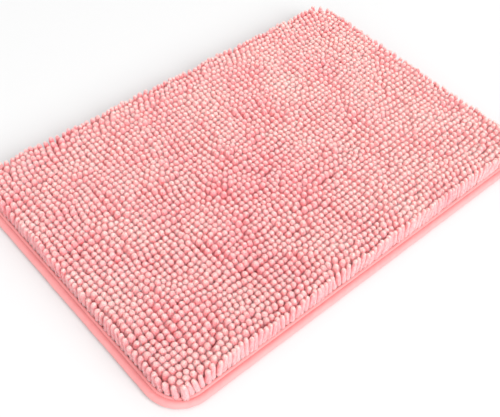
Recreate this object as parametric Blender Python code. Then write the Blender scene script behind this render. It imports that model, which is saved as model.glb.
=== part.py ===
"""A chenille bath mat, lying flat: tufted pile rows, base cloth, latex coat, non-slip backing and bound edge.

Metres, +Z up. The origin is on the floor under the middle of the mat. X runs along the long side, Y across.
Every layer is a closed solid of its own, a small gap away from the next one.
"""

import math

import bmesh
import bpy
from mathutils import Vector

# Overall sizes
MAT_LENGTH = 0.6096
MAT_WIDTH = 0.4064
CORNER_RADIUS = 0.045
PILE_HEIGHT = 0.0257

# Clearance between pieces that touch on the real mat
GAP = 0.0003

# Layers, from the floor up
TAPE_THICKNESS = 0.0008
THREAD_DIAMETER = 0.0006
BACKING_THICKNESS = 0.0010
LATEX_THICKNESS = 0.0008
BASE_CLOTH_THICKNESS = 0.0010

# Edge binding: how far in from the outline its inner edges lie, and how far from those the stitching runs
BINDING_WIDTH = 0.0103
STITCH_MARGIN = 0.0025
STITCH_INSET = BINDING_WIDTH - STITCH_MARGIN
STITCH_GROOVE_HALF_WIDTH = 0.0009
ROLL_RISE = 0.0010
FOLD_RISE = 0.0004

# Pile
ROW_COUNT = 49
TIP_ROUNDING = 0.0028
TIP_STEPS = 2

# Raised pads under the backing
PAD_SIZE = 0.034
PAD_PITCH = 0.046
PAD_MARGIN = 0.004

# How finely each round corner of the mat is divided
CORNER_STEPS = 8

# Heights that follow from the layers
TAPE_GROOVE_LIFT = THREAD_DIAMETER + 1.5 * GAP
BACKING_BOTTOM = TAPE_GROOVE_LIFT + TAPE_THICKNESS + GAP
BACKING_TOP = BACKING_BOTTOM + BACKING_THICKNESS
LATEX_BOTTOM = BACKING_TOP + GAP
LATEX_TOP = LATEX_BOTTOM + LATEX_THICKNESS
CLOTH_BOTTOM = LATEX_TOP + GAP
CLOTH_TOP = CLOTH_BOTTOM + BASE_CLOTH_THICKNESS
TAPE_TOP_LEG = CLOTH_TOP + GAP
PILE_BOTTOM = CLOTH_TOP + GAP
PILE_TOP = PILE_BOTTOM + PILE_HEIGHT
NEEDLE_THREAD_HEIGHT = TAPE_TOP_LEG + TAPE_THICKNESS + GAP + THREAD_DIAMETER / 2
BOBBIN_THREAD_HEIGHT = GAP / 2 + THREAD_DIAMETER / 2

# The binding's outer roll: half a circle through the middle of the tape's thickness
ROLL_STEPS = 8
ROLL_RADIUS = (TAPE_TOP_LEG + ROLL_RISE) / 2
ROLL_CENTRE = TAPE_THICKNESS / 2 + ROLL_RADIUS
ROLL_HOLLOW = (ROLL_RADIUS - TAPE_THICKNESS / 2) * math.cos(math.pi / 2 / ROLL_STEPS)

# The layers end inside the roll, clear of its hollow at the highest and the lowest layer
LAYER_REACH = max(CLOTH_TOP - ROLL_CENTRE, ROLL_CENTRE - BACKING_BOTTOM)
LAYER_INSET = ROLL_CENTRE - math.sqrt(ROLL_HOLLOW ** 2 - LAYER_REACH ** 2) + GAP

COLOURS = {
    "pile": ((0.86, 0.42, 0.42), 0.9),
    "binding": ((0.88, 0.47, 0.46), 0.85),
    "thread": ((0.87, 0.50, 0.49), 0.6),
    "base_cloth": ((0.85, 0.68, 0.64), 0.9),
    "latex": ((0.86, 0.84, 0.76), 0.55),
    "backing": ((0.88, 0.86, 0.82), 0.6),
}


def clear_scene():
    """Remove whatever objects the open file holds."""
    for old in list(bpy.data.objects):
        bpy.data.objects.remove(old, do_unlink=True)


def make_material(name):
    """A Principled material with the colour and roughness listed for it."""
    colour, roughness = COLOURS[name]
    material = bpy.data.materials.new(name)
    material.use_nodes = True
    shader = material.node_tree.nodes["Principled BSDF"]
    shader.inputs["Base Color"].default_value = (*colour, 1.0)
    shader.inputs["Roughness"].default_value = roughness
    shader.inputs["Metallic"].default_value = 0.0
    return material


def add_object(name, mesh_builder, material):
    """Turn a filled bmesh into a named object that wears the material."""
    bmesh.ops.recalc_face_normals(mesh_builder, faces=mesh_builder.faces)
    mesh = bpy.data.meshes.new(name)
    mesh_builder.to_mesh(mesh)
    mesh_builder.free()
    mesh.materials.append(material)
    made = bpy.data.objects.new(name, mesh)
    bpy.context.scene.collection.objects.link(made)
    return made


def outline_stations():
    """Points and outward normals round the corner arcs of the mat's outline, counterclockwise.

    Each corner is a quarter circle, so moving in by an inset keeps the same centres and directions.
    """
    stations = []
    for corner in range(4):
        side_x = 1 if corner in (0, 3) else -1
        side_y = 1 if corner in (0, 1) else -1
        centre = Vector((
            side_x * (MAT_LENGTH / 2 - CORNER_RADIUS),
            side_y * (MAT_WIDTH / 2 - CORNER_RADIUS),
            0.0,
        ))
        for step in range(CORNER_STEPS + 1):
            angle = math.radians(90 * corner) + math.radians(90) * step / CORNER_STEPS
            normal = Vector((math.cos(angle), math.sin(angle), 0.0))
            stations.append((centre + CORNER_RADIUS * normal, normal))
    return stations


def sweep_ring(name, profile, material):
    """Sweep a closed profile of (inset from the outline, height) points round the mat."""
    builder = bmesh.new()
    rings = [
        [builder.verts.new(point - inset * normal + Vector((0, 0, height))) for inset, height in profile]
        for point, normal in outline_stations()
    ]
    for index, ring in enumerate(rings):
        following = rings[(index + 1) % len(rings)]
        for k in range(len(profile)):
            after = (k + 1) % len(profile)
            builder.faces.new((ring[k], following[k], following[after], ring[after]))
    made = add_object(name, builder, material)
    made.data.shade_smooth()
    made.data.set_sharp_from_angle(angle=math.radians(40))
    return made


def rounded_slab(name, inset, bottom, top, material):
    """A flat layer with the mat's outline moved in by the inset."""
    builder = bmesh.new()
    base = Vector((0, 0, bottom))
    low = [builder.verts.new(point - inset * normal + base) for point, normal in outline_stations()]
    face = builder.faces.new(low)
    raised = bmesh.ops.extrude_face_region(builder, geom=[face])
    top_points = [item for item in raised["geom"] if isinstance(item, bmesh.types.BMVert)]
    bmesh.ops.translate(builder, vec=(0, 0, top - bottom), verts=top_points)
    return add_object(name, builder, material)


def binding_centreline():
    """The middle of the tape's thickness: from its lower inner edge, round the roll, to its upper inner edge."""
    half = TAPE_THICKNESS / 2
    groove = STITCH_GROOVE_HALF_WIDTH
    top = TAPE_TOP_LEG + half
    roll_top = top + ROLL_RISE
    line = [
        (BINDING_WIDTH, half),
        (STITCH_INSET + 2 * groove, half),
        (STITCH_INSET + groove, TAPE_GROOVE_LIFT + half),
        (STITCH_INSET - groove, TAPE_GROOVE_LIFT + half),
        (STITCH_INSET - 2 * groove, half),
    ]
    for step in range(ROLL_STEPS + 1):
        angle = math.radians(-90 + 180 * step / ROLL_STEPS)
        inset = ROLL_CENTRE - ROLL_RADIUS * math.cos(angle)
        line.append((inset, ROLL_CENTRE + ROLL_RADIUS * math.sin(angle)))
    line += [
        (STITCH_INSET - 2 * groove, roll_top - ROLL_RISE / 3),
        (STITCH_INSET - groove, top),
        (STITCH_INSET + groove, top),
        (STITCH_INSET + 2 * groove, top + FOLD_RISE),
        (BINDING_WIDTH, top + FOLD_RISE),
    ]
    return line


def thicken(line, thickness):
    """Both sides of an open line, as one closed profile."""
    points = [Vector(point) for point in line]
    left = []
    right = []
    for index, point in enumerate(points):
        before = points[max(index - 1, 0)]
        after = points[min(index + 1, len(points) - 1)]
        into = (point - before).normalized() if index else (after - point).normalized()
        out = (after - point).normalized() if index < len(points) - 1 else into
        along = (into + out).normalized()
        across = Vector((-along.y, along.x))
        reach = thickness / 2 / max(across.dot(Vector((-out.y, out.x))), 0.5)
        left.append(point + reach * across)
        right.append(point - reach * across)
    return [tuple(point) for point in left + right[::-1]]


def edge_binding(material):
    """The tape that is folded round the edge."""
    return sweep_ring("edge_binding", thicken(binding_centreline(), TAPE_THICKNESS), material)


def thread_ring(name, height, material):
    """A thread that lies in the stitch groove, all round the mat."""
    radius = THREAD_DIAMETER / 2
    profile = []
    for step in range(6):
        angle = math.radians(60 * step)
        profile.append((STITCH_INSET + radius * math.cos(angle), height + radius * math.sin(angle)))
    return sweep_ring(name, profile, material)


def pad_centres(length):
    """Places of evenly pitched pads along a length, centred on the mat."""
    free = length - 2 * (BINDING_WIDTH + PAD_MARGIN)
    count = int((free - PAD_SIZE) / PAD_PITCH) + 1
    return [(index - (count - 1) / 2) * PAD_PITCH for index in range(count)]


def nonslip_backing(material):
    """The backing sheet with its raised pads, which stand on the floor inside the binding."""
    sheet = rounded_slab("nonslip_backing", LAYER_INSET, BACKING_BOTTOM, BACKING_TOP, material)
    height = BACKING_BOTTOM + BACKING_THICKNESS / 2
    builder = bmesh.new()
    for x in pad_centres(MAT_LENGTH):
        for y in pad_centres(MAT_WIDTH):
            if not pad_clears_corner(x, y):
                continue
            made = bmesh.ops.create_cube(builder, size=1.0)["verts"]
            bmesh.ops.scale(builder, vec=(PAD_SIZE, PAD_SIZE, height), verts=made)
            bmesh.ops.translate(builder, vec=(x, y, height / 2), verts=made)
    pads = add_object("pad_shapes", builder, material)
    pads.hide_render = True
    pads.display_type = "WIRE"
    union = sheet.modifiers.new("pads", "BOOLEAN")
    union.operation = "UNION"
    union.object = pads
    return sheet


def pad_clears_corner(x, y):
    """Whether a pad's outer corner stays inside the binding's inner edge."""
    limit = CORNER_RADIUS - BINDING_WIDTH - PAD_MARGIN
    past_x = abs(x) + PAD_SIZE / 2 - (MAT_LENGTH / 2 - CORNER_RADIUS)
    past_y = abs(y) + PAD_SIZE / 2 - (MAT_WIDTH / 2 - CORNER_RADIUS)
    return past_x <= 0 or past_y <= 0 or math.hypot(past_x, past_y) <= limit


def pile_half_length(y):
    """Half the length of the pile field at a distance y from the mat's long axis.

    The binding's corners are made of straight chords, which cut a little inside their circle.
    """
    chord = math.cos(math.radians(45) / CORNER_STEPS)
    radius = (CORNER_RADIUS - BINDING_WIDTH) * chord - GAP
    past = abs(y) - (MAT_WIDTH / 2 - CORNER_RADIUS)
    if past <= 0:
        return MAT_LENGTH / 2 - BINDING_WIDTH - GAP
    return MAT_LENGTH / 2 - CORNER_RADIUS + math.sqrt(max(radius * radius - past * past, 0.0))


def row_profile(width):
    """Across one row: straight sides and rounded tips, as (y, z) points."""
    rounding = min(TIP_ROUNDING, width / 2 * 0.8)
    profile = [(-width / 2, PILE_BOTTOM), (width / 2, PILE_BOTTOM)]
    for step in range(TIP_STEPS + 1):
        angle = math.radians(90 * step / TIP_STEPS)
        profile.append((
            width / 2 - rounding + rounding * math.cos(angle),
            PILE_TOP - rounding + rounding * math.sin(angle),
        ))
    for step in range(TIP_STEPS + 1):
        angle = math.radians(90 + 90 * step / TIP_STEPS)
        profile.append((
            -width / 2 + rounding + rounding * math.cos(angle),
            PILE_TOP - rounding + rounding * math.sin(angle),
        ))
    return profile


def pile_row(index, material):
    """One tufted row of chenille yarn, from one end of the pile field to the other."""
    field_width = MAT_WIDTH - 2 * (BINDING_WIDTH + GAP)
    pitch = field_width / ROW_COUNT
    width = pitch - GAP
    centre = (index - (ROW_COUNT - 1) / 2) * pitch
    reach_low = pile_half_length(centre - width / 2)
    reach_high = pile_half_length(centre + width / 2)
    builder = bmesh.new()
    ends = []
    for side in (-1, 1):
        ring = []
        for y, z in row_profile(width):
            share = y / width + 0.5
            reach = reach_low + (reach_high - reach_low) * share
            ring.append(builder.verts.new((side * reach, centre + y, z)))
        ends.append(ring)
    start, stop = ends
    builder.faces.new(start)
    builder.faces.new(stop)
    for k in range(len(start)):
        after = (k + 1) % len(start)
        builder.faces.new((start[k], stop[k], stop[after], start[after]))
    made = add_object(f"pile_row_{index + 1:02d}", builder, material)
    made.data.shade_smooth()
    made.data.set_sharp_from_angle(angle=math.radians(50))
    return made


def main():
    """Build the mat from the floor up."""
    clear_scene()
    materials = {name: make_material(name) for name in COLOURS}
    nonslip_backing(materials["backing"])
    rounded_slab("latex_coat", LAYER_INSET, LATEX_BOTTOM, LATEX_TOP, materials["latex"])
    rounded_slab("base_cloth", LAYER_INSET, CLOTH_BOTTOM, CLOTH_TOP, materials["base_cloth"])
    edge_binding(materials["binding"])
    thread_ring("needle_thread", NEEDLE_THREAD_HEIGHT, materials["thread"])
    thread_ring("bobbin_thread", BOBBIN_THREAD_HEIGHT, materials["thread"])
    for index in range(ROW_COUNT):
        pile_row(index, materials["pile"])


main()
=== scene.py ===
"""Looks of a pink chenille bath mat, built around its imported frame.

Every tufted row is a row of soft chenille fingers, settled against each other. A puffed tape binds the edge,
held by single lockstitches. Base cloth, latex coat and moulded backing lie below. Lengths are in metres and
angles in radians, unless a name says otherwise.
"""

import math

import bpy
import numpy as np
from mathutils import Matrix, Vector


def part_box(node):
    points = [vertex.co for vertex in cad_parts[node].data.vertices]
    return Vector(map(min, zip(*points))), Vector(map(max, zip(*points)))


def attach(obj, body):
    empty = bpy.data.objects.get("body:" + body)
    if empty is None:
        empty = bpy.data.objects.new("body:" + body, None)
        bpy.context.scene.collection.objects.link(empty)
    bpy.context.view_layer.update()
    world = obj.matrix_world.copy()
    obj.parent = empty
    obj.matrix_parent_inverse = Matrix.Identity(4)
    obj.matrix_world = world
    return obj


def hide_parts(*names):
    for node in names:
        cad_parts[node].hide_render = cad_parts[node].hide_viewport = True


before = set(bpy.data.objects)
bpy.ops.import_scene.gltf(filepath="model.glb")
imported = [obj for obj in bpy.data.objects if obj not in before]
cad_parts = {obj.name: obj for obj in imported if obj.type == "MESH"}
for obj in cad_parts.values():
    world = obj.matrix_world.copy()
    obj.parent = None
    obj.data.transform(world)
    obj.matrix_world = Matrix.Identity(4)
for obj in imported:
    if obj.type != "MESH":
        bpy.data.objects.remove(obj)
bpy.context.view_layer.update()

# The outline, from the frame
LOW, HIGH = (np.array(corner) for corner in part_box("edge_binding"))
HALF_LENGTH = float(HIGH[0] - LOW[0]) / 2
HALF_WIDTH = float(HIGH[1] - LOW[1]) / 2
CORNER_RADIUS = 0.045
BINDING_HEIGHT = float(HIGH[2])
CLOTH_LOW, CLOTH_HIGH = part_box("base_cloth")
LATEX_LOW, LATEX_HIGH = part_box("latex_coat")
ROWS = sorted(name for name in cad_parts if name.startswith("pile_row_"))
PILE_ROOT = float(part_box(ROWS[0])[0][2])
PILE_TIP = float(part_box(ROWS[0])[1][2])

# The pile. Insets are measured in from the mat's outline: roots begin at the first, fingers are at their
# slimmest out from the second and at their full thickness in from the third. A patch is (x, y, half-width
# along X, half-width along Y, strength).
FINGER_PITCH = 0.0077
FINGER_RADIUS = 0.0036
FINGER_SIDES = 8
FINGER_NODES = 7
ROOT_INSET = 0.0148
OUTER_PITCH_SHARE = 0.87
OUTER_SLIMMING = 0.17
OUTER_INSET = 0.0150
INNER_INSET = 0.0190
ROW_WAVE = 0.0011
ROW_JITTER = 0.00025
CROSS_JITTER = 0.0003
LENGTH_MEAN = 1.01
LENGTH_SPREAD = 0.032
RADIUS_SPREAD = 0.035
TRODDEN_PATCHES = ((-0.03, -0.03, 0.10, 0.08, 1.0), (-0.12, -0.11, 0.08, 0.06, 0.7))
SEED = 23

# How cool a finger's shade is, from zero to one, and what adds to it: its own random tone, painted shade and
# painted light
BASE_TINT = 0.22
OWN_TINT = 0.4
# Painted shade: slow patches and the trodden patches are deeper, as pile that leans shows its shaded sides
PATCH_PAINTED_SHADE = 0.12
TRODDEN_PAINTED_SHADE = 0.55
# Painted light: the pile is paler towards +X and deeper towards -X
PAINTED_SIDE_LIGHT = 0.22

# How far a finger leans for each unit of its height, and how the edge's hold on it fades inwards
BROAD_LEAN = 0.07
FINE_LEAN = 0.04
STRAY_LEAN = 0.028
TRODDEN_GAIN = 0.5
EDGE_LEAN = 0.09
EDGE_SIDE_LEAN = 0.15
EDGE_STRAY_LEAN = 0.03
FRONT_STRAIGHTENING = 0.11
FRONT_SIDE_LEAN = 0.02
EDGE_HOLD = 0.6
EDGE_HOLD_INSET = 0.012
EDGE_FADE = 0.016

# A finger's rings: places along its chain, radius at each, what packing adds to it, and the dome's angles
RING_PLACES = (0.0, 0.22, 0.42, 0.60, 0.76, 0.90, 1.0)
RING_WIDTHS = (1.56, 1.34, 1.24, 1.17, 1.11, 1.04, 0.96)
PACKED_WIDTHS = (0.0, 0.10, 0.26, 0.36, 0.39, 0.26, 0.02)
DOME_WIDTH = 0.97
DOME_HEIGHT = 0.88
DOME_DEGREES = (34, 62)
RING_KNOB = 0.06
POINT_KNOB = 0.045
OUTER_PACKING = 0.15
PACKING_FADE = 0.003
TRODDEN_UNPACKING = 0.4
HEAD_START = 0.88

# How the chains of beads settle, for each round
DRIFT = 0.035
SAG = 0.00001
STRAIGHTEN = 0.25
PUSH_APART = 0.30
LIST_EVERY = 10
LIST_MARGIN = 0.0015

# The binding tape
TAPE_CLOTH = 0.00045
STITCH_LENGTH = 0.0030
STITCH_INSET = 0.0078
THREAD_RADIUS = 0.00026
HEM_RIDGE_RISE = 0.0019
TAPE_POINTS_ACROSS = 37
TOP_START = 0.0035
TOP_FADE = 0.003
ROLL_INSET = 0.003
ROLL_REACH = 0.0028
PUCKER_REACH = 0.0022
PUCKER_RISE = 0.00010
SLOW_RISE = 0.00016
QUICK_RISE = 0.00018
SLOW_SHIFT = 0.00022
QUICK_SHIFT = 0.00016

# The stitches
THREAD_SIDES = 6
STITCH_SHARE = 0.92
STITCH_SWAY = 0.00005
NEEDLE_STITCH_RISE = 0.0010
BOBBIN_STITCH_HEIGHT = 0.0007

# The layers below the pile
CLOTH_STEP = 0.0035
CLOTH_THINNING = 0.00006
LATEX_STEP = 0.005
LATEX_LUMPS = 0.00008

# The studio. A light is (name, place, size, power in watts), turned to the origin.
FLOOR_HALF_SIZE = 30.0
FLOOR_HEIGHT = -0.0001
AIR_STRENGTH = 1.04
FILL_LIGHT = ("fill", (-3.60, -2.20, 2.20), 3.0, 32)
KEY_LIGHT = ("key", (0.50, -4.30, 3.10), 3.8, 268)
CAMERA_PLACE = (-0.5191, -0.4946, 0.7526)
CAMERA_AZIMUTH = -0.7937
CAMERA_ELEVATION = 0.8545
CAMERA_ROLL = 0.0909
SENSOR_MM = 36.0
LENS_MM = 57.8376


# ---------------------------------------------------------------- meshes

def fill_mesh(name, points, face_sets):
    """A smooth mesh from points and arrays of faces, each array with one number of corners."""
    mesh = bpy.data.meshes.new(name)
    corners = np.concatenate([faces.ravel() for faces in face_sets]).astype(np.int32)
    totals = np.concatenate([np.full(len(faces), faces.shape[1]) for faces in face_sets]).astype(np.int32)
    starts = np.concatenate([[0], np.cumsum(totals)[:-1]]).astype(np.int32)
    mesh.vertices.add(len(points))
    mesh.vertices.foreach_set("co", np.ascontiguousarray(points, dtype=np.float32).ravel())
    mesh.loops.add(len(corners))
    mesh.loops.foreach_set("vertex_index", corners)
    mesh.polygons.add(len(totals))
    mesh.polygons.foreach_set("loop_start", starts)
    mesh.polygons.foreach_set("loop_total", totals)
    mesh.polygons.foreach_set("use_smooth", np.ones(len(totals), dtype=bool))
    mesh.update(calc_edges=True)
    mesh.validate()
    return mesh


def add_piece(name, mesh, material):
    """An object at the origin that wears the material and moves with the mat."""
    mesh.materials.append(material)
    piece = bpy.data.objects.new(name, mesh)
    bpy.context.scene.collection.objects.link(piece)
    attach(piece, "root")
    return piece


def add_values(mesh, name, values):
    """One number for each point, which the material reads."""
    layer = mesh.attributes.new(name, "FLOAT", "POINT")
    layer.data.foreach_set("value", np.ascontiguousarray(values, dtype=np.float32).ravel())


def add_map(mesh, name, places):
    """A UV map with one place for each face corner."""
    layer = mesh.uv_layers.new(name=name)
    layer.data.foreach_set("uv", np.ascontiguousarray(places, dtype=np.float32).ravel())


def lattice_faces(rows, columns, close_rows=False, close_columns=False):
    """Quads between the neighbouring points of a lattice, with or without the step from last to first."""
    row = np.arange(rows if close_rows else rows - 1)
    column = np.arange(columns if close_columns else columns - 1)
    r, c = np.meshgrid(row, column, indexing="ij")
    r_next, c_next = (r + 1) % rows, (c + 1) % columns
    corners = [(r, c), (r_next, c), (r_next, c_next), (r, c_next)]
    return np.stack([across * columns + along for across, along in corners], -1).reshape(-1, 4)


def unit(vectors):
    """Vectors scaled to length one."""
    return vectors / np.maximum(np.linalg.norm(vectors, axis=-1, keepdims=True), 1e-12)


def waves(points, wavelength, seed, count=28):
    """Smooth noise with variance one: a sum of plane cosine waves in random directions, near a wavelength."""
    random = np.random.default_rng(seed)
    heading = random.uniform(0, 2 * np.pi, count)
    number = 2 * np.pi / (wavelength * random.uniform(0.75, 1.4, count))
    phase = random.uniform(0, 2 * np.pi, count)
    along = points[..., 0, None] * np.cos(heading) + points[..., 1, None] * np.sin(heading)
    return np.sqrt(2 / count) * np.cos(along * number + phase).sum(-1)


# ---------------------------------------------------------------- the outline

def row_reach(y):
    """Half the mat's length at a distance y from its long axis: straight, then along the corner circle."""
    past = np.maximum(np.abs(y) - (HALF_WIDTH - CORNER_RADIUS), 0.0)
    return HALF_LENGTH - CORNER_RADIUS + np.sqrt(np.maximum(CORNER_RADIUS ** 2 - past ** 2, 0.0))


def inset_of(points):
    """Distance in from the mat's outline, a rectangle with round corners; below zero outside it."""
    past_x = np.abs(points[..., 0]) - (HALF_LENGTH - CORNER_RADIUS)
    past_y = np.abs(points[..., 1]) - (HALF_WIDTH - CORNER_RADIUS)
    outside = np.hypot(np.maximum(past_x, 0), np.maximum(past_y, 0))
    inside = np.minimum(np.maximum(past_x, past_y), 0)
    return CORNER_RADIUS - outside - inside


def outward(points):
    """Unit vectors in the plane that point straight at the nearest side of the outline."""
    past_x = np.maximum(np.abs(points[..., 0]) - (HALF_LENGTH - CORNER_RADIUS), 0)
    past_y = np.maximum(np.abs(points[..., 1]) - (HALF_WIDTH - CORNER_RADIUS), 0)
    return unit(np.stack([np.sign(points[..., 0]) * past_x, np.sign(points[..., 1]) * past_y], -1))


def outline(distance):
    """Points and outward normals of the outline at distances along it, counterclockwise from mid +X.

    Each stretch is a straight side or a quarter circle, and both are read from the distance into it.
    """
    flat_x = HALF_LENGTH - CORNER_RADIUS
    flat_y = HALF_WIDTH - CORNER_RADIUS
    arc = CORNER_RADIUS * np.pi / 2
    stretches = np.array([flat_y, arc, 2 * flat_x, arc, 2 * flat_y, arc, 2 * flat_x, arc, flat_y])
    ends = np.cumsum(stretches)
    place = np.mod(distance, ends[-1])
    which = np.minimum(np.searchsorted(ends, place, side="right"), len(stretches) - 1)
    into = place - (ends[which] - stretches[which])
    quarter = np.array([0, 0, 1, 1, 2, 2, 3, 3, 4])[which]
    on_arc = np.array([0, 1, 0, 1, 0, 1, 0, 1, 0])[which]
    angle = quarter * np.pi / 2 + on_arc * into / CORNER_RADIUS
    normal = np.stack([np.cos(angle), np.sin(angle)], -1)
    start = np.array([[1, 0], [1, 1], [1, 1], [-1, 1], [-1, 1], [-1, -1], [-1, -1], [1, -1], [1, -1]])[which]
    centre = start * np.array([flat_x, flat_y])
    along = np.stack([-np.sin(quarter * np.pi / 2), np.cos(quarter * np.pi / 2)], -1)
    straight = (1 - on_arc)[..., None] * into[..., None] * along
    return centre + straight + CORNER_RADIUS * normal, normal


OUTLINE_LENGTH = 4 * (HALF_LENGTH + HALF_WIDTH - 2 * CORNER_RADIUS) + 2 * np.pi * CORNER_RADIUS


# ---------------------------------------------------------------- pile

def plant_fingers():
    """Root places, row numbers and places in the row of all fingers.

    Each row is a line of evenly pitched fingers, closer in the two outer rows. Along the row a slow wave and
    a little jitter carry each finger off its place, and both fade out at the row's ends. Across it there is
    only jitter.
    """
    random = np.random.default_rng(SEED)
    roots, row_of, column_of = [], [], []
    for number, name in enumerate(ROWS):
        low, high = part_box(name)
        y = (low[1] + high[1]) / 2
        reach = row_reach(abs(y) + FINGER_RADIUS * 0.6) - ROOT_INSET
        pitch = FINGER_PITCH * (OUTER_PITCH_SHARE if name in (ROWS[0], ROWS[-1]) else 1.0)
        count = round(2 * reach / pitch) + 1
        pitch = 2 * reach / (count - 1)
        x = (np.arange(count) - (count - 1) / 2) * pitch
        free = np.clip((reach - np.abs(x)) / 0.02, 0, 1)
        place = np.stack([x, np.full(count, y)], -1)
        x = x + free * (ROW_WAVE * waves(place, 0.070, SEED + 21) + random.normal(0, ROW_JITTER, count))
        y = y + random.normal(0, CROSS_JITTER, count)
        roots.append(np.stack([x, y, np.full(count, PILE_ROOT)], -1))
        row_of.append(np.full(count, number))
        column_of.append(np.round(x / FINGER_PITCH).astype(int))
    return np.concatenate(roots), np.concatenate(row_of), np.concatenate(column_of)


def trodden(roots):
    """How much the pile is trodden, from zero to one: the largest of the bell curves over the patches."""
    bells = [strength * np.exp(-((roots[:, 0] - x) / wide) ** 2 - ((roots[:, 1] - y) / deep) ** 2)
             for x, y, wide, deep, strength in TRODDEN_PATCHES]
    return np.max(bells, axis=0)


def brushed_lean(roots):
    """How far each finger leans for each unit of height, as the pile was last brushed by hand and foot.

    Broad patches that lean one way meet in sharper partings: a smooth noise pushed towards its two ends by
    tanh. Finer noise and a random part make single fingers stray, and trodden pile leans up to half as much
    again. Towards the edges that lean fades, and fingers lean outwards instead, or stand almost straight
    along the front, with a noise that turns them along the side.
    """
    random = np.random.default_rng(SEED + 1)
    lean = np.stack([
        BROAD_LEAN * np.tanh(1.6 * waves(roots, 0.130, SEED + 2)) + FINE_LEAN * waves(roots, 0.045, SEED + 3),
        BROAD_LEAN * np.tanh(1.6 * waves(roots, 0.110, SEED + 4)) + FINE_LEAN * waves(roots, 0.040, SEED + 5),
    ], -1)
    stray = random.normal(0, 1, lean.shape)
    lean = (1 + TRODDEN_GAIN * trodden(roots)[:, None]) * lean + STRAY_LEAN * stray
    near_edge = np.exp(-np.maximum(inset_of(roots) - EDGE_HOLD_INSET, 0) / EDGE_FADE)[:, None]
    toward = outward(roots)
    front = np.clip(-toward[:, 1:] * 2.5 - 1.5, 0, 1)
    sideways = np.stack([-toward[:, 1], toward[:, 0]], -1)
    edge_noise = waves(roots, 0.080, SEED + 6)[:, None]
    side_lean = EDGE_SIDE_LEAN * edge_noise + FRONT_SIDE_LEAN * front
    edge_lean = (EDGE_LEAN - FRONT_STRAIGHTENING * front) * toward + side_lean * sideways
    return lean * (1 - EDGE_HOLD * near_edge) + (edge_lean + EDGE_STRAY_LEAN * stray) * near_edge


def neighbour_pairs(row_of, column_of):
    """Pairs of fingers at most two places apart, each pair once, found by looking up row and column numbers.

    Where two fingers of a row fall on one place, the second goes into a table of its own.
    """
    columns = column_of - column_of.min() + 3
    table = np.full((row_of.max() + 4, columns.max() + 6), -1)
    extra = np.full_like(table, -1)
    ids = np.arange(len(row_of))
    table[row_of, columns] = ids
    lost = ids[table[row_of, columns] != ids]
    extra[row_of[lost], columns[lost]] = lost
    steps = [(0, 1), (0, 2)] + [(1, step) for step in range(-2, 3)] + [(2, step) for step in range(-2, 3)]
    found = []
    for first in (table, extra):
        for second in (table, extra):
            for down, over in steps:
                a = first[row_of, columns]
                b = second[row_of + down, columns + over]
                keep = (a >= 0) & (b >= 0) & (a == ids)
                found.append(np.stack([a[keep], b[keep]], -1))
    same = extra[row_of[lost], columns[lost]]
    found.append(np.stack([table[row_of[lost], columns[lost]], same], -1))
    return np.unique(np.concatenate(found), axis=0)


def settle_fingers(roots, row_of, column_of, lengths, radii, rounds=110):
    """Centrelines of the fingers at rest, as (finger, node, xyz).

    Each finger is a chain of round beads that keeps its length. In every round the beads drift back to the
    brushed shape, sag a little, straighten, and push apart where two overlap; then the chain is pulled to
    length again from its root. Beads stay above the cloth and the binding. Which beads are close enough to
    touch is listed anew every few rounds.
    """
    share = np.linspace(0, 1, FINGER_NODES)
    link = ((lengths - radii) / (FINGER_NODES - 1))[:, None]
    lean = brushed_lean(roots)
    bow = (0.45 * share + 0.55 * share ** 2)[None, :, None]
    chain = lengths[:, None, None]
    wished = roots[:, None, :] + np.concatenate([
        lean[:, None, :] * bow * chain,
        share[None, :, None] * chain * np.ones((len(roots), 1, 1)),
    ], -1)
    for node in range(1, FINGER_NODES):
        step = unit(wished[:, node] - wished[:, node - 1])
        wished[:, node] = wished[:, node - 1] + link * step
    beads = wished.copy()
    size = radii[:, None] * (0.80 + 0.20 * share ** 0.7)[None, :]
    flat_size = size.ravel()
    pairs = neighbour_pairs(row_of, column_of)
    combos = [(i, j) for i in range(1, FINGER_NODES) for j in range(1, FINGER_NODES) if abs(i - j) <= 2]
    first = np.concatenate([pairs[:, 0] * FINGER_NODES + i for i, j in combos])
    second = np.concatenate([pairs[:, 1] * FINGER_NODES + j for i, j in combos])
    touch = flat_size[first] + flat_size[second]
    total = beads.shape[0] * FINGER_NODES
    for turn in range(rounds):
        beads += DRIFT * (wished - beads)
        beads[:, :, 2] -= SAG * share ** 2
        bent = (beads[:, :-2] + beads[:, 2:]) / 2 - beads[:, 1:-1]
        beads[:, 1:-1] += STRAIGHTEN * bent
        flat = beads.reshape(-1, 3)
        if turn % LIST_EVERY == 0:
            apart = np.linalg.norm(flat[second] - flat[first], axis=-1)
            close = apart < touch + LIST_MARGIN
            a, b, reach = first[close], second[close], touch[close]
        way = flat[b] - flat[a]
        apart = np.linalg.norm(way, axis=-1)
        depth = np.maximum(reach - apart, 0) / np.maximum(apart, 1e-9)
        push = PUSH_APART * depth[:, None] * way
        for axis in range(3):
            flat[:, axis] += np.bincount(b, push[:, axis], total) - np.bincount(a, push[:, axis], total)
        beads[:, 0] = roots
        for node in range(1, FINGER_NODES):
            step = unit(beads[:, node] - beads[:, node - 1])
            beads[:, node] = beads[:, node - 1] + link * step
        over_tape = np.clip((0.0115 - inset_of(beads)) / 0.002, 0, 1)
        floor = PILE_ROOT + over_tape * (BINDING_HEIGHT - PILE_ROOT) + size * 0.9
        beads[:, 1:, 2] = np.maximum(beads[:, 1:, 2], floor[:, 1:])
    return beads


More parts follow.
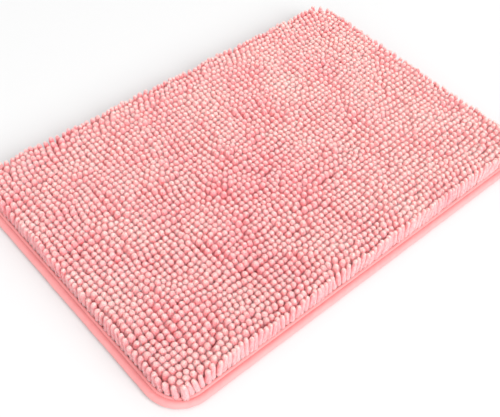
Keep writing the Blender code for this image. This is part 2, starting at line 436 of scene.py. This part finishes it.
def finger_rings(beads, radii, seed):
    """Surface points of all fingers as (finger, ring, side, xyz), their tips, and each ring's height share.

    A centreline is read by straight steps between the beads. Round it runs a circle whose radius follows the
    profile: broad at the root, narrower at the head, closed by a dome, each ring and each point of it a
    random part larger or smaller. Where fingers are packed, away from the edge, the upper body is fuller, and
    less so in a trodden patch.
    """
    random = np.random.default_rng(seed)
    count = len(beads)
    body = np.array(RING_PLACES)
    dome = np.radians(DOME_DEGREES)
    place = np.concatenate([body, np.ones(len(dome))]) * (FINGER_NODES - 1)
    lower = np.minimum(place.astype(int), FINGER_NODES - 2)
    part = (place - lower)[None, :, None]
    centre = beads[:, lower] * (1 - part) + beads[:, lower + 1] * part
    slope = np.gradient(beads, axis=1)
    tangent = unit(slope[:, lower] * (1 - part) + slope[:, lower + 1] * part)
    lift = np.concatenate([np.zeros(len(body)), DOME_HEIGHT * np.sin(dome)])
    centre = centre + tangent * (radii[:, None] * lift)[..., None]
    width = np.concatenate([RING_WIDTHS, np.cos(dome) * DOME_WIDTH])
    extra = np.concatenate([PACKED_WIDTHS, np.zeros(len(dome))])
    packed = np.clip((inset_of(beads[:, 0]) - OUTER_INSET) / PACKING_FADE, OUTER_PACKING, 1)
    packed = (packed * (1 - TRODDEN_UNPACKING * trodden(beads[:, 0])))[:, None]
    width = width[None] + packed * extra[None]
    on_body = (np.arange(len(place)) < len(body))[None, :, None]
    knob = 1 + RING_KNOB * random.normal(size=(count, len(place), 1)) * on_body
    knob = knob + POINT_KNOB * random.normal(size=(count, len(place), FINGER_SIDES))
    across = unit(np.array([1.0, 0, 0]) - tangent * tangent[..., :1])
    beside = np.cross(tangent, across)
    turn = 2 * np.pi * np.arange(FINGER_SIDES) / FINGER_SIDES + random.uniform(0, 1, (count, 1, 1))
    reach = radii[:, None, None] * width[:, :, None] * knob
    rings = centre[:, :, None] + reach[..., None] * (
        np.cos(turn)[..., None] * across[:, :, None] + np.sin(turn)[..., None] * beside[:, :, None])
    tips = beads[:, -1] + tangent[:, -1] * radii[:, None] * random.uniform(0.84, 0.94, (count, 1))
    heights = np.concatenate([body * HEAD_START, HEAD_START + (1 - HEAD_START) * np.sin(dome)])
    return rings, tips, heights


def pile_row(name, rings, tips, heights, tint, material):
    """One row of fingers as one mesh: lattices of quads, a fan at each tip and a flat cap at each root."""
    count, ring_count, sides, _ = rings.shape
    per = ring_count * sides
    points = np.concatenate([rings.reshape(count, per, 3), tips[:, None]], axis=1)
    base = (np.arange(count) * (per + 1))[:, None, None]
    wall = lattice_faces(ring_count, sides, close_columns=True)[:, ::-1]
    fan_low = (ring_count - 1) * sides + np.arange(sides)
    fan_next = (ring_count - 1) * sides + (np.arange(sides) + 1) % sides
    fan = np.stack([fan_low, fan_next, np.full(sides, per)], -1)
    cap = np.arange(sides)[::-1][None]
    face_sets = [(base + faces[None]).reshape(-1, faces.shape[1]) for faces in (wall, fan, cap)]
    mesh = fill_mesh(name, points.reshape(-1, 3), face_sets)
    height = np.concatenate([np.repeat(heights, sides), [1.0]])
    add_values(mesh, "finger_height", np.tile(height, count))
    add_values(mesh, "finger_tint", np.repeat(tint, per + 1))
    piece = add_piece("chenille_" + name.removeprefix("pile_"), mesh, material)
    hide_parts(name)
    return piece


def make_pile(material):
    """All rows of the pile, settled together and then cut into their pieces.

    Lengths and radii spread about their mean, and the outer fingers are slimmer. The tint is a random part, a
    slow noise and more in the trodden patches as painted shade, and less towards +X as painted light.
    """
    random = np.random.default_rng(SEED + 7)
    roots, row_of, column_of = plant_fingers()
    count = len(roots)
    lengths = (PILE_TIP - PILE_ROOT) * (LENGTH_MEAN + LENGTH_SPREAD * random.normal(size=count))
    radii = FINGER_RADIUS * (1 + RADIUS_SPREAD * random.normal(size=count))
    outer = np.clip((INNER_INSET - inset_of(roots)) / (INNER_INSET - OUTER_INSET), 0, 1)
    radii = radii * (1 - OUTER_SLIMMING * outer)
    beads = settle_fingers(roots, row_of, column_of, lengths, radii)
    rings, tips, heights = finger_rings(beads, radii, SEED + 8)
    # The tint's painted shade in slow and trodden patches, and painted light that pales the pile towards +X
    painted_shade_and_light = PATCH_PAINTED_SHADE * waves(roots, 0.09, SEED + 9) + TRODDEN_PAINTED_SHADE * trodden(roots)
    painted_shade_and_light = painted_shade_and_light - PAINTED_SIDE_LIGHT * roots[:, 0] / HALF_LENGTH
    tint = np.clip(BASE_TINT + OWN_TINT * random.uniform(0, 1, count) + painted_shade_and_light, 0, 1)
    pieces = []
    for number, name in enumerate(ROWS):
        mine = row_of == number
        pieces.append(pile_row(name, rings[mine], tips[mine], heights, tint[mine], material))
    return pieces


# ---------------------------------------------------------------- binding

def tape_path():
    """The tape's middle line across the edge, as (inset, height).

    It starts at the lower edge, dips into the groove of the lower stitches and runs out to the roll, a half
    circle swollen a little at its widest. From there it goes down into the groove of the upper stitches, over
    the hem ridge and back under itself.
    """
    floor = TAPE_CLOTH / 2
    roll = (BINDING_HEIGHT - TAPE_CLOTH) / 2
    middle = floor + roll
    groove_floor = float(CLOTH_HIGH[2]) + TAPE_CLOTH
    ridge = float(CLOTH_HIGH[2]) + HEM_RIDGE_RISE
    under = np.array([
        [0.0103, floor], [0.0096, floor], [STITCH_INSET + 0.0008, 0.0011], [STITCH_INSET, 0.0014],
        [STITCH_INSET - 0.0008, 0.0011], [STITCH_INSET - 0.0018, floor], [0.0050, floor],
    ])
    angle = np.radians(np.linspace(-90, 90, 17))
    swell = 1 + 0.06 * np.cos(angle)
    bulge_inset = floor + roll - roll * np.cos(angle) * swell + 0.0002
    bulge = np.stack([bulge_inset, middle + roll * np.sin(angle)], -1)
    over = np.array([
        [0.0052, BINDING_HEIGHT - 0.0003], [0.0066, BINDING_HEIGHT - 0.0008],
        [STITCH_INSET - 0.0005, groove_floor + 0.0004], [STITCH_INSET, groove_floor],
        [STITCH_INSET + 0.0004, groove_floor + 0.0004], [STITCH_INSET + 0.0008, ridge - 0.0001],
        [0.0100, ridge + 0.0001], [0.0112, ridge - 0.0001], [0.0117, ridge - 0.0007],
        [0.0112, groove_floor - 0.0001], [0.0090, groove_floor - 0.0001],
    ])
    return np.concatenate([under, bulge, over])


def smooth_path(path, count):
    """The path, rounded by averaging each fine point with its neighbours, and the distance along it.

    Both are read at count points, which lie three times as close at the stitch groove on top as elsewhere.
    """
    run = np.concatenate([[0], np.cumsum(np.linalg.norm(np.diff(path, axis=0), axis=-1))])
    place = np.linspace(0, run[-1], 4 * count)
    fine = np.stack([np.interp(place, run, path[:, k]) for k in range(path.shape[1])], -1)
    for _ in range(3):
        fine[1:-1] = 0.5 * fine[1:-1] + 0.25 * (fine[:-2] + fine[2:])
    at_groove = np.exp(-((fine[:, 0] - STITCH_INSET) / 0.0025) ** 2) * (fine[:, 1] > BINDING_HEIGHT / 2)
    crowd = np.cumsum(1 + 2 * at_groove)
    chosen = np.interp(np.linspace(crowd[0], crowd[-1], count), crowd, place)
    return np.stack([np.interp(chosen, place, fine[:, k]) for k in range(path.shape[1])], -1), chosen


def edge_binding(material):
    """The binding: the tape's section carried round the outline, thick on both sides of its middle line.

    Puckers, a cosine along the seam, rise between the stitches and fade over the roll. Slow and quick noise
    in height and inset keeps the edge from being ruler straight. The map's two axes are the distances along
    and across the tape.
    """
    path, across = smooth_path(tape_path(), TAPE_POINTS_ACROSS)
    tangent = unit(np.gradient(path, axis=0))
    side = np.stack([-tangent[:, 1], tangent[:, 0]], -1)
    stitches = round(OUTLINE_LENGTH / STITCH_LENGTH)
    stations = 2 * stitches
    distance = np.arange(stations) * OUTLINE_LENGTH / stations
    place, normal = outline(distance)
    pucker = np.cos(2 * np.pi * stitches * distance / OUTLINE_LENGTH)
    inset, height = path[:, 0], path[:, 1]
    top = np.clip((height - TOP_START) / TOP_FADE, 0, 1)
    near_stitch = np.exp(-((inset - STITCH_INSET) / PUCKER_REACH) ** 2) * top
    roll_part = np.exp(-((inset - ROLL_INSET) / ROLL_REACH) ** 2)
    slow = waves(place, 0.045, SEED + 11)
    quick = waves(place, 0.011, SEED + 12)
    rise = PUCKER_RISE * pucker[:, None] * near_stitch[None] * (inset < STITCH_INSET + 0.0016)[None]
    rise = rise + (SLOW_RISE * slow + QUICK_RISE * quick)[:, None] * (roll_part * top)[None]
    shift = (SLOW_SHIFT * slow + QUICK_SHIFT * quick)[:, None] * roll_part[None]
    layers = []
    for reach in (TAPE_CLOTH / 2, -TAPE_CLOTH / 2):
        section_inset = inset + reach * side[:, 0] + shift
        section_height = np.maximum(height + reach * side[:, 1] + rise, 0.00001)
        flat_place = place[:, None] - section_inset[..., None] * normal[:, None]
        layers.append(np.concatenate([flat_place, section_height[..., None]], -1))
    section = np.concatenate([layers[0], layers[1][:, ::-1]], axis=1)
    run = np.concatenate([across, across[::-1]])
    columns = section.shape[1]
    quads = lattice_faces(stations, columns, close_rows=True, close_columns=True)
    mesh = fill_mesh("edge_binding_tape", section.reshape(-1, 3), [quads])
    row = quads[:, 0] // columns
    column = quads % columns
    along_next = np.array([0, 1, 1, 0])
    u = (row[:, None] + along_next[None]) * OUTLINE_LENGTH / stations
    add_map(mesh, "tape", np.stack([u, run[column]], -1))
    piece = add_piece("edge_binding_tape", mesh, material)
    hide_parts("edge_binding")
    return piece


def lockstitches(name, node, height, up, material):
    """Single stitches round the edge: short tubes, high in the middle, that dive into the tape at both ends.

    Each ring of a tube is a circle whose radius narrows at the ends, and each stitch is turned a little in
    the seam.
    """
    count = round(OUTLINE_LENGTH / STITCH_LENGTH)
    middle = (np.arange(count) + 0.5) * OUTLINE_LENGTH / count
    share = np.array([-0.5, -0.40, -0.2, 0.2, 0.40, 0.5])
    distance = middle[:, None] + share * (OUTLINE_LENGTH / count) * STITCH_SHARE
    place, normal = outline(distance)
    random = np.random.default_rng(SEED + 13)
    sway = random.normal(0, STITCH_SWAY, (count, 1)) * np.sign(share)
    flat = place - (STITCH_INSET + sway)[..., None] * normal
    dive = np.array([-0.00065, -0.0002, 0.0, 0.0, -0.0002, -0.00065]) * up
    centre = np.concatenate([flat, np.broadcast_to(height + dive, sway.shape)[..., None]], -1)
    along = np.stack([-normal[..., 1], normal[..., 0], np.zeros_like(sway)], -1)
    beside = np.concatenate([normal, np.zeros(sway.shape + (1,))], -1)
    turn = 2 * np.pi * np.arange(THREAD_SIDES) / THREAD_SIDES
    width = THREAD_RADIUS * np.array([0.7, 1.0, 1.05, 1.05, 1.0, 0.7])
    raised = np.cross(along, beside)
    ring = centre[:, :, None] + width[None, :, None, None] * (
        np.cos(turn)[:, None] * beside[:, :, None] + np.sin(turn)[:, None] * raised[:, :, None])
    per = len(share) * THREAD_SIDES
    base = (np.arange(count) * per)[:, None, None]
    wall = lattice_faces(len(share), THREAD_SIDES, close_columns=True)
    start = np.arange(THREAD_SIDES)[None]
    stop = (per - THREAD_SIDES + np.arange(THREAD_SIDES))[::-1][None]
    face_sets = [(base + faces[None]).reshape(-1, faces.shape[1]) for faces in (wall, start, stop)]
    mesh = fill_mesh(name, ring.reshape(-1, 3), face_sets)
    piece = add_piece(name, mesh, material)
    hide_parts(node)
    return piece


# ---------------------------------------------------------------- layers below the pile

def layer_points(inset, step):
    """A lattice over the mat, drawn in to the rounded outline: each row's points spread over its reach."""
    across = np.linspace(-1, 1, int(2 * HALF_WIDTH / step)) * (HALF_WIDTH - inset)
    radius = CORNER_RADIUS - inset
    past = np.maximum(np.abs(across) - (HALF_WIDTH - CORNER_RADIUS), 0.0)
    reach = HALF_LENGTH - CORNER_RADIUS + np.sqrt(np.maximum(radius ** 2 - past ** 2, 0.0))
    share = np.linspace(-1, 1, int(2 * HALF_LENGTH / step))
    side = np.broadcast_to(across[:, None], (len(across), len(share)))
    return np.stack([reach[:, None] * share[None], side], -1)


def closed_layer(name, places, low, high):
    """A sheet between two height lattices, closed round its rim."""
    rows, columns, _ = places.shape
    top = np.concatenate([places, high[..., None]], -1).reshape(-1, 3)
    bottom = np.concatenate([places, low[..., None]], -1).reshape(-1, 3)
    quads = lattice_faces(rows, columns)
    rim = np.concatenate([
        np.arange(columns),
        columns * np.arange(1, rows) + columns - 1,
        columns * (rows - 1) + np.arange(columns - 2, -1, -1),
        columns * np.arange(rows - 2, 0, -1),
    ])
    after = np.roll(rim, -1)
    count = rows * columns
    wall = np.stack([rim, after, after + count, rim + count], -1)
    return fill_mesh(name, np.concatenate([top, bottom]), [quads[:, ::-1], quads + count, wall[:, ::-1]])


def base_cloth(material):
    """The woven base cloth: a flat sheet, thinned a little here and there by smooth noise."""
    inset = float(CLOTH_LOW[0]) + HALF_LENGTH
    places = layer_points(inset, CLOTH_STEP)
    thinning = CLOTH_THINNING * np.abs(waves(places, 0.020, SEED + 14))
    low = np.full(places.shape[:2], float(CLOTH_LOW[2])) + thinning
    high = np.full(places.shape[:2], float(CLOTH_HIGH[2])) - thinning
    piece = add_piece("base_cloth_sheet", closed_layer("base_cloth_sheet", places, low, high), material)
    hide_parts("base_cloth")
    return piece


def latex_coat(material):
    """The latex coat: a thin layer with soft lumps where it soaked round the tufts."""
    inset = float(LATEX_LOW[0]) + HALF_LENGTH
    places = layer_points(inset, LATEX_STEP)
    lumps = LATEX_LUMPS * np.abs(waves(places, 0.015, SEED + 15))
    low = np.full(places.shape[:2], float(LATEX_LOW[2])) + lumps
    high = np.full(places.shape[:2], float(LATEX_HIGH[2])) - lumps
    piece = add_piece("latex_coat_layer", closed_layer("latex_coat_layer", places, low, high), material)
    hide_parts("latex_coat")
    return piece


# ---------------------------------------------------------------- materials

def new_group(name, inputs, outputs):
    """An empty shader group with its sockets: name to (type, default) going in, name to type coming out."""
    group = bpy.data.node_groups.new(name, "ShaderNodeTree")
    for label, (kind, default) in inputs.items():
        socket = group.interface.new_socket(name=label, in_out="INPUT", socket_type=kind)
        if default is not None:
            socket.default_value = default
    for label, kind in outputs.items():
        group.interface.new_socket(name=label, in_out="OUTPUT", socket_type=kind)
    return group, group.nodes.new("NodeGroupInput"), group.nodes.new("NodeGroupOutput")


def math_node(tree, operation, first, second=None, clamp=False):
    """A Math node fed by sockets or plain numbers; returns its output."""
    node = tree.nodes.new("ShaderNodeMath")
    node.operation = operation
    node.use_clamp = clamp
    for index, value in enumerate((first, second)):
        if isinstance(value, (int, float)):
            node.inputs[index].default_value = value
        elif value is not None:
            tree.links.new(value, node.inputs[index])
    return node.outputs[0]


def mix_colours(tree, share, first, second, mode="MIX"):
    """A colour Mix node; share and both colours may be sockets or plain values."""
    node = tree.nodes.new("ShaderNodeMix")
    node.data_type = "RGBA"
    node.blend_type = mode
    for socket, value in ((node.inputs[0], share), (node.inputs[6], first), (node.inputs[7], second)):
        if isinstance(value, bpy.types.NodeSocket):
            tree.links.new(value, socket)
        else:
            socket.default_value = value if isinstance(value, (int, float)) else (*value, 1.0)
    return node.outputs[2]


def noise(tree, coordinates, scale, detail=2.0, rough=0.5):
    """A Noise texture's grey output at so many lumps per metre."""
    node = tree.nodes.new("ShaderNodeTexNoise")
    node.inputs["Scale"].default_value = scale
    node.inputs["Detail"].default_value = detail
    node.inputs["Roughness"].default_value = rough
    tree.links.new(coordinates, node.inputs["Vector"])
    return node.outputs[0]


def fuzz_group():
    """Tufted fibres on object coordinates: small round nubs, one to a cell, over fine and coarse noise.

    A nub is one less the distance from the cell's middle to a power. Height is for bump. Speckle is fibre
    mottle and painted shade: light on the nubs and dark in the creases between them.
    """
    group, entry, exit_ = new_group(
        "fibre_fuzz",
        {"Fibre Scale": ("NodeSocketFloat", 900.0)},
        {"Height": "NodeSocketFloat", "Speckle": "NodeSocketFloat"})
    place = group.nodes.new("ShaderNodeTexCoord").outputs["Object"]
    scaled = group.nodes.new("ShaderNodeVectorMath")
    scaled.operation = "SCALE"
    group.links.new(place, scaled.inputs[0])
    group.links.new(entry.outputs["Fibre Scale"], scaled.inputs["Scale"])
    fine = noise(group, scaled.outputs[0], 1.9, 3.0, 0.65)
    coarse = noise(group, scaled.outputs[0], 0.36, 1.0, 0.5)
    cells = group.nodes.new("ShaderNodeTexVoronoi")
    cells.inputs["Scale"].default_value = 0.8
    group.links.new(scaled.outputs[0], cells.inputs["Vector"])
    crease = math_node(group, "POWER", cells.outputs["Distance"], 1.6)
    nubs = math_node(group, "SUBTRACT", 1.0, crease, clamp=True)
    fine_part = math_node(group, "MULTIPLY", fine, 0.45)
    rough = math_node(group, "ADD", fine_part, math_node(group, "MULTIPLY", coarse, 0.7))
    height = math_node(group, "ADD", rough, math_node(group, "MULTIPLY", nubs, 0.55))
    speckle = math_node(group, "ADD", fine_part, math_node(group, "MULTIPLY", nubs, 0.42))
    group.links.new(height, exit_.inputs["Height"])
    group.links.new(speckle, exit_.inputs["Speckle"])
    return group


def principled(name, roughness, sheen=0.0, sheen_tint=(1, 1, 1), specular=0.3):
    """A new material's tree and its Principled shader with its constant values set."""
    material = bpy.data.materials.new(name)
    material.use_nodes = True
    shader = material.node_tree.nodes["Principled BSDF"]
    shader.inputs["Roughness"].default_value = roughness
    shader.inputs["Specular IOR Level"].default_value = specular
    shader.inputs["Sheen Weight"].default_value = sheen
    shader.inputs["Sheen Roughness"].default_value = 0.5
    shader.inputs["Sheen Tint"].default_value = (*sheen_tint, 1.0)
    return material, material.node_tree, shader


def add_bump(tree, shader, height, distance, strength=1.0):
    """Feeds a height, times a distance in metres, into the shader's normal."""
    bump = tree.nodes.new("ShaderNodeBump")
    bump.inputs["Strength"].default_value = strength
    bump.inputs["Distance"].default_value = distance
    tree.links.new(height, bump.inputs["Height"])
    tree.links.new(bump.outputs[0], shader.inputs["Normal"])


def attribute(tree, name):
    """The grey value of a named attribute."""
    node = tree.nodes.new("ShaderNodeAttribute")
    node.attribute_name = name
    return node.outputs["Fac"]


def ramp(tree, value, stops):
    """A colour ramp with (place, colour) stops."""
    node = tree.nodes.new("ShaderNodeValToRGB")
    elements = node.color_ramp.elements
    while len(elements) < len(stops):
        elements.new(0.5)
    for element, (place, colour) in zip(elements, stops):
        element.position = place
        element.color = (*colour, 1.0)
    tree.links.new(value, node.inputs[0])
    return node.outputs[0]


def chenille_material(fuzz):
    """Pink chenille: deeper pink down the body as painted shade, palest at the tip as a painted highlight,
    each finger a shade of its own, fuzzy.

    The shade runs from warm to cool by the finger's tint. The speckle then darkens green and blue more than
    red, as fibre mottle and painted shade in the creases.
    """
    material, tree, shader = principled(
        "pink_chenille", 0.95, sheen=0.5, sheen_tint=(1.0, 0.78, 0.74), specular=0.1)
    height = attribute(tree, "finger_height")
    tint = attribute(tree, "finger_tint")
    fibres = tree.nodes.new("ShaderNodeGroup")
    fibres.node_tree = fuzz
    fibres.inputs["Fibre Scale"].default_value = 850.0
    # Painted light along the height: deeper pink down the body for shade, palest at the head for a highlight
    warm = ramp(tree, height, [
        (0.0, (1.0, 0.44, 0.45)), (0.3, (0.98, 0.41, 0.42)), (0.82, (0.96, 0.405, 0.41)),
        (0.93, (0.94, 0.46, 0.44)), (1.0, (0.95, 0.58, 0.53))])
    cool = ramp(tree, height, [
        (0.0, (1.0, 0.34, 0.36)), (0.3, (0.97, 0.28, 0.31)), (0.82, (0.95, 0.28, 0.31)),
        (0.93, (0.92, 0.345, 0.36)), (1.0, (0.94, 0.49, 0.47))])
    colour = mix_colours(tree, tint, warm, cool)
    # Fibre mottle and painted shade: the colour darkens in the creases between the fuzz's nubs
    mottle = tree.nodes.new("ShaderNodeCombineColor")
    for socket, gain, base in zip(mottle.inputs[:3], (0.25, 1.5, 1.5), (0.87, 0.25, 0.25)):
        share = math_node(tree, "MULTIPLY", fibres.outputs["Speckle"], gain)
        tree.links.new(math_node(tree, "ADD", share, base), socket)
    mottled = mix_colours(tree, 1.0, colour, mottle.outputs[0], "MULTIPLY")
    tree.links.new(mottled, shader.inputs["Base Color"])
    add_bump(tree, shader, fibres.outputs["Height"], 0.0018)
    shader.inputs["Subsurface Weight"].default_value = 1.0
    shader.inputs["Subsurface Radius"].default_value = (1.0, 0.45, 0.45)
    shader.inputs["Subsurface Scale"].default_value = 0.008
    return material


def tape_material(fuzz):
    """Brushed knit tape: fine ribs aslant on the tape's map, a soft nap and slight shade changes."""
    material, tree, shader = principled(
        "pink_tape", 0.8, sheen=0.35, sheen_tint=(1.0, 0.85, 0.83), specular=0.2)
    uv = tree.nodes.new("ShaderNodeUVMap")
    uv.uv_map = "tape"
    ribs = tree.nodes.new("ShaderNodeTexWave")
    ribs.bands_direction = "DIAGONAL"
    ribs.inputs["Scale"].default_value = 420.0
    ribs.inputs["Distortion"].default_value = 0.6
    tree.links.new(uv.outputs[0], ribs.inputs["Vector"])
    fibres = tree.nodes.new("ShaderNodeGroup")
    fibres.node_tree = fuzz
    fibres.inputs["Fibre Scale"].default_value = 1600.0
    place = tree.nodes.new("ShaderNodeTexCoord").outputs["Object"]
    patches = noise(tree, place, 60.0, 2.0)
    colour = mix_colours(tree, patches, (0.70, 0.268, 0.272), (0.77, 0.325, 0.32))
    tree.links.new(colour, shader.inputs["Base Color"])
    rib_part = math_node(tree, "MULTIPLY", ribs.outputs[1], 0.35)
    height = math_node(tree, "ADD", rib_part, fibres.outputs["Height"])
    add_bump(tree, shader, height, 0.00012, 0.8)
    return material


def thread_material():
    """Twisted polyester thread: slanted plies across each stitch, with a soft gloss."""
    material, tree, shader = principled("pink_thread", 0.45, sheen=0.2, specular=0.4)
    place = tree.nodes.new("ShaderNodeTexCoord").outputs["Object"]
    plies = tree.nodes.new("ShaderNodeTexWave")
    plies.bands_direction = "DIAGONAL"
    plies.inputs["Scale"].default_value = 900.0
    tree.links.new(place, plies.inputs["Vector"])
    # Painted shade: darker in the grooves between the plies, on the same waves as the bump
    colour = mix_colours(tree, plies.outputs[1], (0.55, 0.15, 0.16), (0.78, 0.25, 0.26))
    tree.links.new(colour, shader.inputs["Base Color"])
    add_bump(tree, shader, plies.outputs[1], 0.0001)
    return material


def weave_material():
    """Plain woven base cloth: two crossed sets of yarns on object coordinates."""
    material, tree, shader = principled("base_weave", 0.9, sheen=0.2)
    place = tree.nodes.new("ShaderNodeTexCoord").outputs["Object"]
    yarns = []
    for direction in ("X", "Y"):
        wave = tree.nodes.new("ShaderNodeTexWave")
        wave.bands_direction = direction
        wave.inputs["Scale"].default_value = 330.0
        wave.inputs["Distortion"].default_value = 0.4
        tree.links.new(place, wave.inputs["Vector"])
        yarns.append(wave.outputs[1])
    height = math_node(tree, "MAXIMUM", yarns[0], yarns[1])
    # Painted shade: deeper pink where both yarns are low, between them, on the same height as the bump
    colour = mix_colours(tree, height, (0.98, 0.36, 0.37), (1.0, 0.48, 0.47))
    tree.links.new(colour, shader.inputs["Base Color"])
    add_bump(tree, shader, height, 0.0003)
    return material


def latex_material():
    """Cloudy latex: cream patches of two shades, a little gloss that varies."""
    material, tree, shader = principled("latex_cream", 0.55)
    place = tree.nodes.new("ShaderNodeTexCoord").outputs["Object"]
    clouds = noise(tree, place, 90.0, 4.0)
    colour = mix_colours(tree, clouds, (0.72, 0.69, 0.58), (0.86, 0.84, 0.76))
    tree.links.new(colour, shader.inputs["Base Color"])
    roughness = math_node(tree, "ADD", math_node(tree, "MULTIPLY", clouds, 0.4), 0.3)
    tree.links.new(roughness, shader.inputs["Roughness"])
    add_bump(tree, shader, clouds, 0.0003)
    return material


def backing_material():
    """Moulded soft rubber: a fine grid of nubs and a dull, slightly uneven skin."""
    material, tree, shader = principled("backing_rubber", 0.6, specular=0.4)
    place = tree.nodes.new("ShaderNodeTexCoord").outputs["Object"]
    nubs = tree.nodes.new("ShaderNodeTexVoronoi")
    nubs.inputs["Scale"].default_value = 420.0
    nubs.inputs["Randomness"].default_value = 0.0
    tree.links.new(place, nubs.inputs["Vector"])
    clouds = noise(tree, place, 40.0, 3.0)
    colour = mix_colours(tree, clouds, (0.80, 0.77, 0.72), (0.90, 0.88, 0.84))
    tree.links.new(colour, shader.inputs["Base Color"])
    roughness = math_node(tree, "ADD", math_node(tree, "MULTIPLY", clouds, 0.25), 0.45)
    tree.links.new(roughness, shader.inputs["Roughness"])
    add_bump(tree, shader, nubs.outputs["Distance"], 0.0008)
    return material


def floor_material():
    """Plain pale studio floor, with a trace of light of its own."""
    material, _, shader = principled("pale_floor", 0.9, specular=0.1)
    shader.inputs["Base Color"].default_value = (0.64, 0.64, 0.64, 1.0)
    shader.inputs["Emission Color"].default_value = (1.0, 1.0, 1.0, 1.0)
    shader.inputs["Emission Strength"].default_value = 0.02
    return material


# ---------------------------------------------------------------- studio

def add_floor():
    """A large square of floor just under the mat."""
    corners = FLOOR_HALF_SIZE * np.array([[-1, -1], [1, -1], [1, 1], [-1, 1]])
    points = np.concatenate([corners, np.full((4, 1), FLOOR_HEIGHT)], -1)
    mesh = fill_mesh("studio_floor", points, [np.array([[0, 1, 2, 3]])])
    mesh.materials.append(floor_material())
    floor = bpy.data.objects.new("studio_floor", mesh)
    bpy.context.scene.collection.objects.link(floor)


def add_light(name, place, size, power):
    """A square soft white light at a place, turned to the origin."""
    light = bpy.data.lights.new(name, "AREA")
    light.shape = "SQUARE"
    light.size = size
    light.energy = power
    holder = bpy.data.objects.new(name, light)
    holder.location = place
    holder.rotation_euler = (-Vector(place)).to_track_quat("-Z", "Y").to_euler()
    bpy.context.scene.collection.objects.link(holder)


def add_world():
    """Even white light from all sides."""
    world = bpy.data.worlds.new("studio_air")
    world.use_nodes = True
    air = world.node_tree.nodes["Background"]
    air.inputs["Color"].default_value = (1, 1, 1, 1)
    air.inputs["Strength"].default_value = AIR_STRENGTH
    bpy.context.scene.world = world


def add_camera():
    """The camera, turned by azimuth, elevation and a small roll; it looks against its back axis."""
    flat = math.cos(CAMERA_ELEVATION)
    back = Vector((
        math.sin(CAMERA_AZIMUTH) * flat, -math.cos(CAMERA_AZIMUTH) * flat, math.sin(CAMERA_ELEVATION)))
    right = Vector((0, 0, 1)).cross(back).normalized()
    up = back.cross(right)
    turned_right = right * math.cos(CAMERA_ROLL) + up * math.sin(CAMERA_ROLL)
    turned_up = up * math.cos(CAMERA_ROLL) - right * math.sin(CAMERA_ROLL)
    data = bpy.data.cameras.new("camera")
    data.sensor_width = SENSOR_MM
    data.lens = LENS_MM
    data.clip_start = 0.01
    camera = bpy.data.objects.new("camera", data)
    axes = Matrix((turned_right, turned_up, back)).transposed().to_4x4()
    camera.matrix_world = Matrix.Translation(CAMERA_PLACE) @ axes
    bpy.context.scene.collection.objects.link(camera)
    bpy.context.scene.camera = camera


def main():
    """Build every piece, then the studio round it."""
    fuzz = fuzz_group()
    thread = thread_material()
    rows = make_pile(chenille_material(fuzz))
    edge_binding(tape_material(fuzz))
    needle_height = float(CLOTH_HIGH[2]) + NEEDLE_STITCH_RISE
    lockstitches("needle_stitches", "needle_thread", needle_height, 1, thread)
    lockstitches("bobbin_stitches", "bobbin_thread", BOBBIN_STITCH_HEIGHT, -1, thread)
    cloth = base_cloth(weave_material())
    latex_coat(latex_material())
    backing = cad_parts["nonslip_backing"]
    backing.data.materials.clear()
    backing.data.materials.append(backing_material())
    add_floor()
    add_light(*FILL_LIGHT)
    add_world()
    add_light(*KEY_LIGHT)
    add_camera()
    bpy.context.scene.view_settings.view_transform = "Standard"


main()
